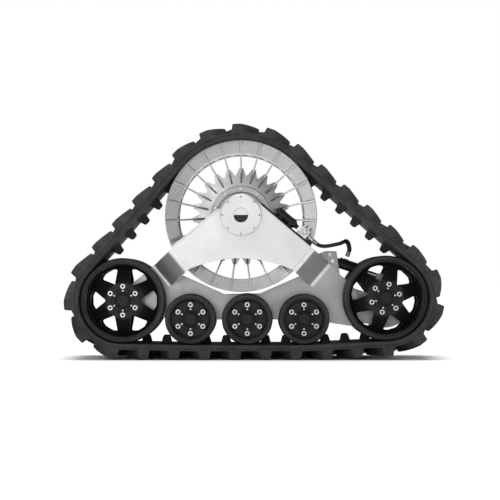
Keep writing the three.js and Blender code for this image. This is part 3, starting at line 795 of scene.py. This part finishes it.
# ---- Frame: side plate, arms and the lower beam ----
def arm_point(arm, along, above):
    """A point given along an arm's middle line and square to it, counted from the drive wheel's axis."""
    x = along * math.cos(arm["angle"]) + above * math.sin(arm["angle"])
    z = -along * math.sin(arm["angle"]) + above * math.cos(arm["angle"])
    return arm["side"] * x, z


def side_plate():
    """The plate with the two arms: a round top, straight upper edges and a hollow lower edge."""
    apex = 148
    tangents = []
    for arm in (REAR_ARM, FRONT_ARM):
        x, z = arm_point(arm, math.sqrt(apex ** 2 - arm["upper"] ** 2), arm["upper"])
        tangents.append(math.atan2(z, x))
    start = Vector(arm_point(FRONT_ARM, ARM_END, ARM_LOWER))
    end = Vector(arm_point(REAR_ARM, ARM_END, ARM_LOWER))
    pull = Vector((0, -225))
    points = []
    for k in range(49):
        t = k / 48
        points.append(tuple(start * (1 - t) ** 2 + pull * 2 * t * (1 - t) + end * t * t))
    points.append(arm_point(REAR_ARM, ARM_END, REAR_ARM["upper"]))
    for k in range(25):
        angle = tangents[0] + (tangents[1] - tangents[0]) * k / 24
        points.append((apex * math.cos(angle), apex * math.sin(angle)))
    points.append(arm_point(FRONT_ARM, ARM_END, FRONT_ARM["upper"]))
    return plate(points, SIDE_FACE, SIDE_FACE + FRAME_PLATE, [circle(BEARING_RADIUS, count=72)], 2)


def arm_place(arm):
    """Along the arm is X; the arm's upper side is +Z, or -Z on the front arm."""
    return spin(arm["angle"] if arm["side"] > 0 else math.pi - arm["angle"])


def joggle(arm, bend, steps):
    """The folded plate that takes an arm from the side plate in to the beam."""
    half = FRAME_PLATE / 2
    lip, foot = SIDE_FACE + half, -BEAM_FACE - CLEARANCE - half
    folds = [(ARM_END + CLEARANCE, lip), (548, lip), (690, foot), (720, foot)]
    line = eased(folds, [0, bend, bend, 0], False, steps)
    near, far = [], []
    for i, (x, y) in enumerate(line):
        before, after = line[max(i - 1, 0)], line[min(i + 1, len(line) - 1)]
        turn = math.atan2(after[1] - before[1], after[0] - before[0])
        near.append((x + half * math.sin(turn), y - half * math.cos(turn)))
        far.insert(0, (x - half * math.sin(turn), y + half * math.cos(turn)))
    width = arm["upper"] - ARM_LOWER
    across = (ARM_LOWER + arm["upper"]) / 2 * arm["side"]
    return moved(flat(near + far, width, edge=2), at(z=across))


def arm_strip(arm, start, end, thick, depth):
    """A bar laid along the upper edge of an arm."""
    above = arm["upper"] + CLEARANCE + thick / 2
    strip = block(end - start, depth, thick, 2.5)
    return moved(strip, at((start + end) / 2, SIDE_FACE + depth / 2, arm["side"] * above))


def slide_point(along, above):
    """A point given along the tensioner's slide and square to it."""
    x = along * math.cos(SLIDE_ANGLE) + above * math.sin(SLIDE_ANGLE)
    z = -along * math.sin(SLIDE_ANGLE) + above * math.cos(SLIDE_ANGLE)
    return x, z


def arc(centre, radius, start, end, count):
    points = []
    for k in range(count + 1):
        turn = start + (end - start) * k / count
        points.append((centre[0] + radius * math.cos(turn), centre[1] + radius * math.sin(turn)))
    return points


def beam_plate(sign):
    """One of the two lower plates that carry the axles, with a scallop over each roller's axle."""
    arm_foot = 688
    points = arc(FRONT_IDLER, 56.6, math.pi / 2 + FRONT_ARM["angle"], 1.55 * math.pi, 24)
    points.append((-560, -725))
    for roller in ROLLERS:
        points += arc(roller, 62, 1.036 * math.pi, 1.964 * math.pi, 24)
    points += [
        (645, -764), (799, -787), (842, -586), (804, -504), (744, -445), (705, -413),
        (684, -262), (608, -262),
        arm_point(REAR_ARM, arm_foot, REAR_ARM["upper"]),
        arm_point(REAR_ARM, arm_foot, ARM_LOWER),
        (424.5, -427), (135, -552), (-124, -556), (-421.7, -423),
        arm_point(FRONT_ARM, arm_foot, ARM_LOWER),
        arm_point(FRONT_ARM, arm_foot, FRONT_ARM["upper"]),
    ]
    holes = [circle(AXLE_RADIUS + CLEARANCE, *centre) for centre in (FRONT_IDLER, *ROLLERS)]
    holes.append(circle(PIN_RADIUS + CLEARANCE, *slide_point(CYLINDER_PIN, CYLINDER_LINE)))
    faces = sorted((sign * BEAM_INSIDE, sign * BEAM_FACE))
    return plate(points, *faces, holes, 1.5)


piece("side_plate_skin", side_plate(), "silver_paint", stands_for=["side_plate"])
piece("front_joggle_skin", joggle(FRONT_ARM, 27, 10), "silver_paint", stands_for=["front_joggle"],
      place=arm_place(FRONT_ARM))
piece("rear_joggle_skin", joggle(REAR_ARM, 27, 2), "silver_paint", stands_for=["rear_joggle"],
      place=arm_place(REAR_ARM), sharp=15)
piece("front_flange_skin", arm_strip(FRONT_ARM, 90, ARM_END, 12, 80), "silver_paint",
      stands_for=["front_arm_flange"], place=arm_place(FRONT_ARM))
piece("valve_bracket_skin", arm_strip(REAR_ARM, 60, 470, 13, 92), "black_paint",
      stands_for=["valve_bracket"], place=arm_place(REAR_ARM))
# The beam plates keep the silver paint's slot but take its darkened copy, which is painted shade.
for sign, side in ((-1, "outboard"), (1, "inboard")):
    piece(f"beam_{side}_skin", beam_plate(sign), "silver_paint", stands_for=[f"beam_plate_{side}"],
          finish="silver_beam_painted_shade")

SLIDE = spin(SLIDE_ANGLE)
for node, low in (("yoke_guide_upper", -229), ("yoke_guide_lower", -356)):
    guide = moved(block(185, 2 * (BEAM_INSIDE - CLEARANCE), 25, 2), at(832.5, 0, low + 12.5))
    piece(f"{node}_skin", guide, "grey_steel", stands_for=[node], place=SLIDE)


# ---- Drive bearing and its cover ----
def hub_cover():
    """The round cover over the bearing, open in the middle for the sight glass."""
    back = SIDE_FACE - CLEARANCE
    profile = [(51, -325), (139, -325), (145, -319), (145, back), (51, back)]
    return turned(eased(profile, [3, 2, 2, 1, 1]), 120)


COVER_BOLTS = around(moved(bolt_head(15, 9, 0), at(z=130)), 8)
piece("hub_cover_skin", hub_cover(), "silver_paint", stands_for=["hub_cover"])
piece("hub_cover_bolts", moved(COVER_BOLTS, at(y=-316)), "grey_steel")
HOUSING_FACE = SIDE_FACE + FRAME_PLATE + CLEARANCE
piece("bearing_housing_skin", ring(BEARING_RADIUS, 140, HOUSING_FACE, -152, 3), "grey_steel",
      stands_for=["bearing_housing"])
piece("wheel_bearing_skin", ring(JOURNAL_RADIUS + 0.6, 96, -240, -156, 3), "bright_steel",
      stands_for=["wheel_bearing"])
# The shutter hides the upper half of the sight glass.
SHUTTER = plate(arc((0, 0), WINDOW_RADIUS, 0.02, math.pi - 0.02, 40), -321, -316, edge=1)
piece("sight_glass", rod(WINDOW_RADIUS, -306, -298, 2, 72), "lens_glass")
piece("sight_glass_shutter", SHUTTER, "silver_paint")


# ---- Tensioner ----
BRACKET_FACE = BEAM_FACE + CLEARANCE + 12


def bracket(sign):
    """The plate on a beam plate's face that holds one end of the cylinder's pin."""
    outline = [(552, -268), (608, -247), (684, -249), (707, -416), (649, -349)]
    hole = circle(PIN_RADIUS + CLEARANCE, *slide_point(CYLINDER_PIN, CYLINDER_LINE))
    faces = sorted((sign * (BEAM_FACE + CLEARANCE), sign * BRACKET_FACE))
    return plate(eased(outline, [5, 6, 6, 4, 4]), *faces, [hole], 1.5)


def yoke():
    """The sliding plate that carries the rear idlers, with the ear that the rod pushes on."""
    axle = (
        REAR_IDLER[0] * math.cos(SLIDE_ANGLE) - REAR_IDLER[1] * math.sin(SLIDE_ANGLE),
        REAR_IDLER[0] * math.sin(SLIDE_ANGLE) + REAR_IDLER[1] * math.cos(SLIDE_ANGLE),
    )
    points = [(800, -330), (980, -330), (980, -468)]
    points += arc(axle, 215, 1.445 * math.pi, 1.79 * math.pi, 24)
    points += arc(axle, 60, 0, 0.33 * math.pi, 12)
    points += arc((EAR_PIN, CYLINDER_LINE), EAR_RADIUS, 0, math.pi, 20)
    points += [(EAR_PIN - EAR_RADIUS, -230), (800, -230)]
    half = BEAM_INSIDE - 0.6
    return plate(points, -half, half, [circle(AXLE_RADIUS + CLEARANCE, *axle, 64)], 2)


def along_slide(solid, height=CYLINDER_LINE, y=0.0):
    """Lays a solid turned round Y along the slide, so that its Y values run along the slide."""
    return moved(solid, at(0, y, height) @ spin(-math.pi / 2, "Z"))


def cylinder():
    """The cylinder's barrel with its port, and a thin pipe held by two clips."""
    barrel = turned(eased([
        (0, 698), (33, 698), (36, 702), (36, 748), (34, 752), (34, 948), (36, 952), (36, 985), (21.5, 985),
        (21.5, 840), (0, 840),
    ], [0, 2, 2, 2, 2, 2, 2, 3, 1, 1, 0], closed=False, steps=2), 64)
    port = moved(rod(17, 20, 46, 1.5, 32), at(PORT_AT, 0, CYLINDER_LINE) @ spin(math.pi / 2, "X"))
    tube = along_slide(rod(5, 770, 960, 1, 16), CYLINDER_LINE + 38, -14)
    clips = []
    for place in (776, 944):
        clips.append(along_slide(rod(8, place, place + 10, 1, 16), CYLINDER_LINE + 37, -14))
    return merged(along_slide(barrel), port, tube, *clips)


piece("bracket_outboard_skin", bracket(-1), "grey_steel", stands_for=["bracket_outboard"])
piece("bracket_inboard_skin", bracket(1), "grey_steel", stands_for=["bracket_inboard"])
piece("yoke_skin", yoke(), "grey_steel", "tensioner", ["idler_yoke"], SLIDE)
piece("cylinder_skin", cylinder(), "black_paint", stands_for=["cylinder_barrel"], place=SLIDE)
PISTON_ROD = along_slide(rod(20, 905, EAR_PIN - EAR_RADIUS - CLEARANCE, 1.5, 48))
piece("cylinder_rod_skin", PISTON_ROD, "bright_steel", "tensioner", ["cylinder_rod"], SLIDE)
PIN = moved(rod(PIN_RADIUS, -BRACKET_FACE - 10, BRACKET_FACE + 10, 2.5), at(CYLINDER_PIN, 0, CYLINDER_LINE))
piece("cylinder_pin_skin", PIN, "bright_steel", stands_for=["cylinder_pin"], place=SLIDE)
piece("bracket_bolt", moved(bolt_head(24, 13, -BRACKET_FACE), at(635.5, 0, -271)), "bright_steel")


# ---- Hydraulics on the rear arm ----
def accumulator():
    """The gas bottle in its two straps and saddles, with the plate at its outer end."""
    radius = 32
    profile = [
        (0, 168), (14, 168), (15, 176), (radius, 184), (radius, 328), (17, 342), (16, 362), (0, 362),
    ]
    shell = turned(eased(profile, [0, 2, 3, 14, 14, 3, 2, 0], closed=False), 64)
    straps, saddles = [], []
    for start in STRAPS_AT:
        straps.append(ring(radius - 1, radius + 2.2, start, start + STRAP_WIDTH, 0.8, 64))
        under = at(start + STRAP_WIDTH / 2, HYDRAULICS_Y, BRACKET_TOP + 13)
        saddles.append(moved(block(26, 62, 26, 3), under))
    laid = at(0, HYDRAULICS_Y, BRACKET_TOP + CLEARANCE + radius) @ spin(-math.pi / 2, "Z")
    end_plate = moved(block(10, 58, 66, 3), at(182, HYDRAULICS_Y, BRACKET_TOP + 33))
    return merged(moved(merged(shell, *straps), laid), *saddles, end_plate)


def valve_block():
    """The valve's body with its outlet, a round dial, a plug and two capped test ports."""
    body = moved(block(78, 56, 66, 3), at(412, HYDRAULICS_Y, BRACKET_TOP + 33 + CLEARANCE))
    fittings = [body]
    outlet = merged(rod(16, 0, 22, 1.5, 6), rod(13, 22, 60, 1.5, 32))
    fittings.append(moved(outlet, at(440, HYDRAULICS_Y, BRACKET_TOP + 30) @ spin(-math.pi / 2, "Z")))
    profile = [(0, 0), (19, 0), (19, -12), (15, -16), (15, -22), (0, -22)]
    dial = turned(eased(profile, 1.5, closed=False), 48)
    fittings.append(moved(dial, at(419, HYDRAULICS_Y - 28, BRACKET_TOP + 40)))
    fittings.append(moved(bolt_head(18, 14), at(388, HYDRAULICS_Y - 28, BRACKET_TOP + 20)))
    for along, height in ((392, 14), (424, 20)):
        cap = merged(rod(11, 0, height, 1, 6), rod(7, height, height + 9, 1.5, 24))
        fittings.append(moved(cap, at(along, HYDRAULICS_Y, BRACKET_TOP + 66) @ spin(math.pi / 2, "X")))
    return merged(*fittings)


def hose_route():
    """The hose's own points, joined by a centripetal Catmull-Rom curve."""
    def place(along, y, above):
        x, z = arm_point(REAR_ARM, along, above)
        return Vector((x, y, z))

    def port(above):
        x, z = slide_point(PORT_AT, above)
        return Vector((x, 0, z))

    points = [
        place(500.5, HYDRAULICS_Y, BRACKET_TOP + 30),
        place(535, HYDRAULICS_Y, BRACKET_TOP + 30),
        place(585, HYDRAULICS_Y + 60, BRACKET_TOP + 52),
        Vector((700, -90, -196)),
        Vector((762, -22, -180)),
        port(22),
        port(-27.6),
    ]
    padded = [2 * points[0] - points[1], *points, 2 * points[-1] - points[-2]]
    route = []
    for i in range(1, len(padded) - 2):
        p0, p1, p2, p3 = padded[i - 1:i + 3]
        t1 = (p1 - p0).length ** 0.5
        t2 = t1 + (p2 - p1).length ** 0.5
        t3 = t2 + (p3 - p2).length ** 0.5
        for k in range(ROUTE_STEPS):
            t = t1 + (t2 - t1) * k / ROUTE_STEPS
            a1 = p0 * ((t1 - t) / t1) + p1 * (t / t1)
            a2 = p1 * ((t2 - t) / (t2 - t1)) + p2 * ((t - t1) / (t2 - t1))
            a3 = p2 * ((t3 - t) / (t3 - t2)) + p3 * ((t - t2) / (t3 - t2))
            b1 = a1 * ((t2 - t) / t2) + a2 * (t / t2)
            b2 = a2 * ((t3 - t) / (t3 - t1)) + a3 * ((t - t1) / (t3 - t1))
            route.append(b1 * ((t2 - t) / (t2 - t1)) + b2 * ((t - t1) / (t2 - t1)))
    return route + [points[-1]]


def tube_along(route, radius, sides=24):
    """A round tube that follows a route without twisting."""
    sections = []
    turns = [2 * math.pi * k / sides for k in range(sides)]
    across = (route[1] - route[0]).orthogonal().normalized()
    for i, point in enumerate(route):
        along = (route[min(i + 1, len(route) - 1)] - route[max(i - 1, 0)]).normalized()
        across = (across - along * across.dot(along)).normalized()
        other = along.cross(across)
        section = []
        for turn in turns:
            section.append(point + (across * math.cos(turn) + other * math.sin(turn)) * radius)
        sections.append(section)
    return lofted(sections)


def hose_end(point, inward):
    """A ferrule with three crimped rings, on the hose where it ends."""
    facing = Vector((0, 1, 0)).rotation_difference(inward).to_matrix().to_4x4()
    profile = [(0, -2), (15.6, -2), (15.6, 30), (14, 34), (0, 34)]
    ferrule = turned(eased(profile, 1.5, closed=False), 32)
    grips = [ring(12, 16.6, place, place + 4, 1, 32) for place in (8, 16, 24)]
    return moved(merged(ferrule, *grips), Matrix.Translation(point) @ facing)


REAR_ARM_PLACE = arm_place(REAR_ARM)
ROUTE = hose_route()
piece("accumulator_skin", accumulator(), "black_paint", stands_for=["accumulator"],
      place=REAR_ARM_PLACE)
piece("valve_block_skin", valve_block(), "bright_steel", stands_for=["valve_block"],
      place=REAR_ARM_PLACE)
CLAMP_MIDDLE = REAR_ARM["upper"] + CLEARANCE + 15
piece("hose_clamp", moved(block(38, 40, 30, 3), at(490, HYDRAULICS_Y, CLAMP_MIDDLE)), "black_paint",
      place=REAR_ARM_PLACE)
piece("hose_skin", tube_along(ROUTE, HOSE_RADIUS), "hose_rubber", stands_for=["hose"])
# The last turn down to the cylinder is a steel elbow, because it is too tight for the hose.
ELBOW = ROUTE[37:53]
piece("hose_elbow", tube_along(ELBOW, ELBOW_RADIUS), "black_paint")
HOSE_ENDS = (hose_end(ROUTE[0], ROUTE[1] - ROUTE[0]), hose_end(ROUTE[-1], ROUTE[-2] - ROUTE[-1]))
piece("hose_ends", merged(*HOSE_ENDS), "grey_steel")


# ---- Floor, light and camera ----
AMBIENT = 0.3
FLOOR_REACH = 60.0


def ground_floor():
    """A pale floor under the belt, wide enough to meet the white background."""
    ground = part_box("rubber_belt")[0].z
    mesh = bpy.data.meshes.new("floor")
    corners = [(-1, -1), (1, -1), (1, 1), (-1, 1)]
    mesh.from_pydata([(x * FLOOR_REACH, y * FLOOR_REACH, ground) for x, y in corners], [], [(0, 1, 2, 3)])
    floor = bpy.data.objects.new("floor", mesh)
    bpy.context.scene.collection.objects.link(floor)
    nodes = Nodes("floor")
    pale = nodes.blend(nodes.noise(0.5), grey(0.93), grey(0.95))
    nodes.link(pale, nodes.shader.inputs["Base Color"])
    nodes.shader.inputs["Roughness"].default_value = 0.9
    mesh.materials.append(nodes.material)


def white_world():
    """White to the camera, and a dimmer white as the light from all round."""
    world = bpy.data.worlds.new("studio")
    world.use_nodes = True
    tree = world.node_tree
    seen = tree.nodes["Background"]
    ambient = tree.nodes.new("ShaderNodeBackground")
    seen.inputs["Color"].default_value = (1, 1, 1, 1)
    ambient.inputs["Color"].default_value = (1, 1, 1, 1)
    ambient.inputs["Strength"].default_value = AMBIENT
    paths = tree.nodes.new("ShaderNodeLightPath")
    either = tree.nodes.new("ShaderNodeMixShader")
    tree.links.new(paths.outputs["Is Camera Ray"], either.inputs[0])
    tree.links.new(ambient.outputs[0], either.inputs[1])
    tree.links.new(seen.outputs[0], either.inputs[2])
    tree.links.new(either.outputs[0], tree.nodes["World Output"].inputs["Surface"])
    bpy.context.scene.world = world


def overhead_light():
    """Lights the floor evenly out to the horizon."""
    light = bpy.data.lights.new("overhead", "SUN")
    light.energy = 2.9
    light.angle = math.radians(40)
    bpy.context.scene.collection.objects.link(bpy.data.objects.new("overhead", light))


def area_light(name, place, target, size, power):
    """A round soft light at a place, facing a target."""
    light = bpy.data.lights.new(name, "AREA")
    light.shape = "DISK"
    light.size = size
    light.energy = power
    obj = bpy.data.objects.new(name, light)
    obj.location = place
    obj.rotation_euler = (Vector(target) - Vector(place)).to_track_quat("-Z", "Y").to_euler()
    bpy.context.scene.collection.objects.link(obj)


def camera():
    """Square on to the outboard side, ten metres from the belt's near edge."""
    distance = 10.0
    view_width = 3.5
    data = bpy.data.cameras.new("camera")
    data.sensor_width = 36.0
    data.lens = data.sensor_width * distance / view_width
    data.shift_y = 0.046
    obj = bpy.data.objects.new("camera", data)
    obj.location = (0.0635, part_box("rubber_belt")[0].y - distance, -0.405)
    obj.rotation_euler = (math.pi / 2, 0, 0)
    bpy.context.scene.collection.objects.link(obj)
    bpy.context.scene.camera = obj


ground_floor()
white_world()
overhead_light()
area_light("key", (-3.4, -12.5, 2.6), (0, 0, -0.3), 6.5, 290)
area_light("side", (-5.0, -3.0, 3.0), (0, 0, -0.4), 2.5, 60)
area_light("fill", (6.0, -5.0, 1.6), (0.4, 0, -0.4), 3.0, 90)
camera()
bpy.context.scene.view_settings.view_transform = "Standard"
